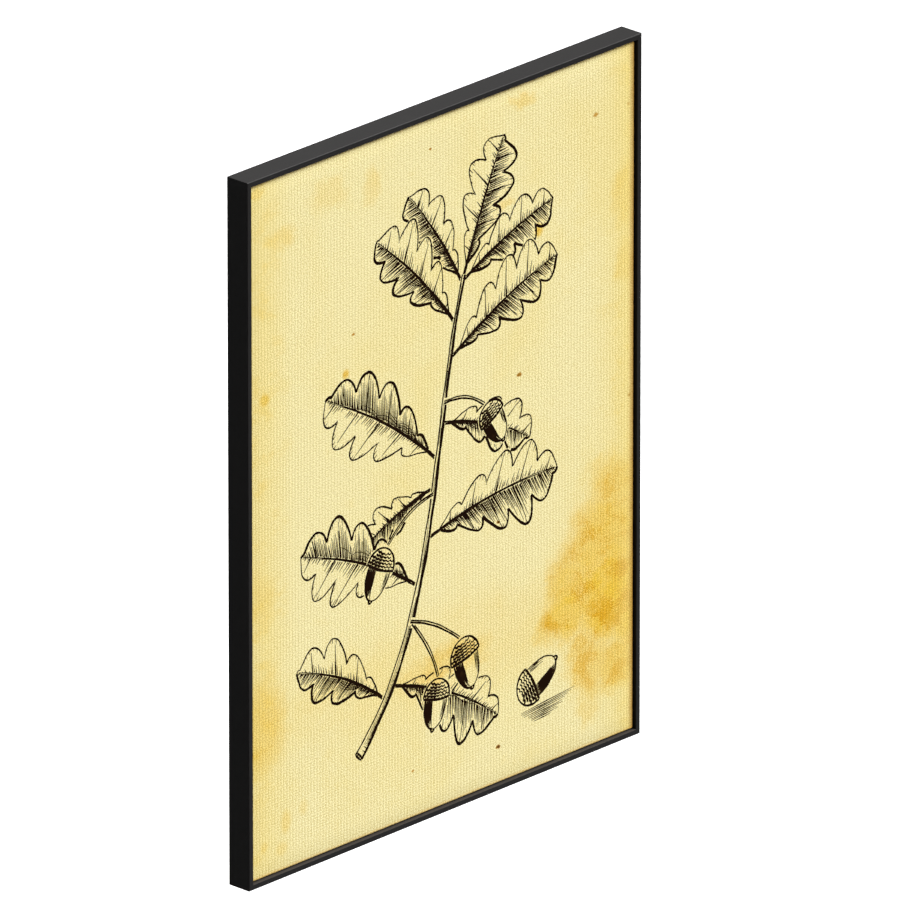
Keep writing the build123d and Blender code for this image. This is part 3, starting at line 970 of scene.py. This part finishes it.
steel, shader, coords = new_finish("staple_wire_steel")
smears = coords.noise(240.0, detail=3.0)
plug(shader, "Base Color", smears.blend(wire_dull, wire_bright))
plug(shader, "Roughness", 0.26 + smears * 0.18)
shader.inputs["Metallic"].default_value = 1.0
staple.data.materials.append(steel)
staple_spots = []
staple_runs = ((canvas_size.x, canvas_size.z, False), (canvas_size.z, canvas_size.x, True))
for length, breadth, turned in staple_runs:
    half_run = length / 2 - clear_of_corner
    off = breadth / 2 - staple_inset
    count = int(2 * half_run / staple_gap)
    for side in (-1, 1):
        for index in range(count + 1):
            along = -half_run + 2 * half_run * index / count + rng.uniform(-0.004, 0.004)
            off_here = side * (off + rng.uniform(-0.001, 0.001))
            spot = (off_here, along) if turned else (along, off_here)
            staple_spots.append((spot, math.radians(rng.normal(90.0 if turned else 0.0, 6.0))))
copies = []
for (x, z), turn in staple_spots:
    copy = staple.copy()
    copy.data = staple.data.copy()
    copy.location = (canvas_middle.x + x, canvas_high.y + staple_height / 2, canvas_middle.z + z)
    copy.rotation_euler = (0.0, turn, 0.0)
    bpy.context.collection.objects.link(copy)
    copies.append(copy)
bpy.data.objects.remove(staple)
bpy.ops.object.select_all(action="DESELECT")
for copy in copies:
    copy.select_set(True)
bpy.context.view_layer.objects.active = copies[0]
bpy.ops.object.join()
staples = bpy.context.object
staples.name = "staples"
bpy.ops.object.transform_apply(location=True, rotation=True, scale=True)
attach(staples, "picture")

# V-nails
# Bent strips of bright steel pressed into the backs of the frame's mitres, flush with the wood. Only
# their thin top edges show, a little dulled.
v_dull = (0.24, 0.23, 0.22)
v_bright = (0.38, 0.37, 0.36)
v_steel, shader, coords = new_finish("v_nail_steel")
tarnish = coords.noise(500.0, detail=3.0)
plug(shader, "Base Color", tarnish.blend(v_dull, v_bright))
plug(shader, "Roughness", 0.34 + tarnish * 0.2)
shader.inputs["Metallic"].default_value = 1.0
dress(v_steel, "v_nail")

# Screws and strap hangers
# Zinc-plated steel: pan-head screws through the frame's base into the bars, and on each side rail a folded
# strap with two screws that carries a ring of round wire. Plating is bright with faint yellow bands.
zinc_blue = (0.34, 0.35, 0.37)
zinc_yellow = (0.47, 0.44, 0.36)
zinc_relief = 0.00002
zinc, shader, coords = new_finish("zinc_plate")
bands = coords.noise(130.0, detail=2.0)
scuffs = coords.stretch(1.0, 1.0, 0.2).noise(1500.0, detail=3.0)
plug(shader, "Base Color", bands.rise(0.35, 0.70).blend(zinc_blue, zinc_yellow))
plug(shader, "Roughness", 0.22 + scuffs * 0.24)
shader.inputs["Metallic"].default_value = 1.0
emboss(shader, scuffs, zinc_relief)
dress(zinc, "canvas_screw", "hanger")

# Wall bumpers
# Two round black rubber pads stuck to the frame's lower back corners, which hold it off the wall. The
# moulded rubber is matt, with a dusty bloom.
rubber_black = (0.018, 0.018, 0.018)
rubber_bloom = (0.055, 0.053, 0.050)
rubber_relief = 0.00008
rubber, shader, coords = new_finish("bumper_rubber")
bloom = coords.noise(260.0, detail=4.0, roughness=0.7)
plug(shader, "Base Color", bloom.rise(0.4, 0.8).blend(rubber_black, rubber_bloom))
plug(shader, "Roughness", 0.68 + bloom * 0.2)
emboss(shader, bloom, rubber_relief)
dress(rubber, "wall_bumper")

# Floor, lights and surroundings
# The picture hangs above a plain pale floor in a white room. Two large soft lights shine from the front
# right and from above, so its left side is the darkest, and a third shines on its back.
floor_drop = 1.1
floor_size = 40.0
floor_shown = (0.85, 0.85, 0.85)
floor_stray = (0.06, 0.06, 0.06)
floor_glow = (0.45, 0.45, 0.45)
no_glow = (0.0, 0.0, 0.0)
bpy.ops.object.select_all(action="DESELECT")
bpy.ops.mesh.primitive_plane_add(size=floor_size, location=(0.0, 0.0, frame_low.z - floor_drop))
floor = bpy.context.object
floor.name = "pale_floor"
floor_paint, shader, coords = new_finish("floor_paint")


def seen(start):
    """1 for what the camera sees straight, in a reflection or through glass, and 0 for stray light."""
    path = [start.node("LightPath", {}, out=kind) for kind in
            ("Is Camera Ray", "Is Glossy Ray", "Is Transmission Ray")]
    return path[0].most(path[1]).most(path[2])


plug(shader, "Base Color", seen(coords).blend(floor_stray, floor_shown))
plug(shader, "Emission Color", seen(coords).blend(no_glow, floor_glow))
shader.inputs["Emission Strength"].default_value = 1.0
shader.inputs["Roughness"].default_value = 0.9
shader.inputs["Specular IOR Level"].default_value = 0.0
floor.data.materials.append(floor_paint)

room_shown = (1.0, 1.0, 1.0)
room_stray = (0.14, 0.14, 0.14)
room = bpy.data.worlds.new("white_room")
room.use_nodes = True
bpy.context.scene.world = room
backdrop = room.node_tree.nodes["Background"]
plug(backdrop, "Color", seen(Shade(room.node_tree)).blend(room_stray, room_shown))
backdrop.inputs["Strength"].default_value = 1.0


def shine(kind, name, place, energy):
    """Add a light that points from its place to the origin, and give back its settings."""
    turned = place.to_track_quat("Z", "Y").to_euler()
    bpy.ops.object.light_add(type=kind, location=place, rotation=turned)
    made = bpy.context.object
    made.name = name
    made.data.energy = energy
    return made.data


light_distance = 6.0
key_from = Vector((0.59, -0.56, 0.58))
sky_from = Vector((0.28, -0.54, 0.79))
back_from = Vector((0.4, 2.0, 3.2))
shine("SUN", "soft_front_light", key_from * light_distance, 2.2).angle = math.radians(50.0)
shine("SUN", "soft_top_light", sky_from * light_distance, 3.0).angle = math.radians(40.0)
shine("AREA", "back_light", back_from, 120.0).size = 1.5
bpy.context.scene.view_settings.view_transform = "Standard"
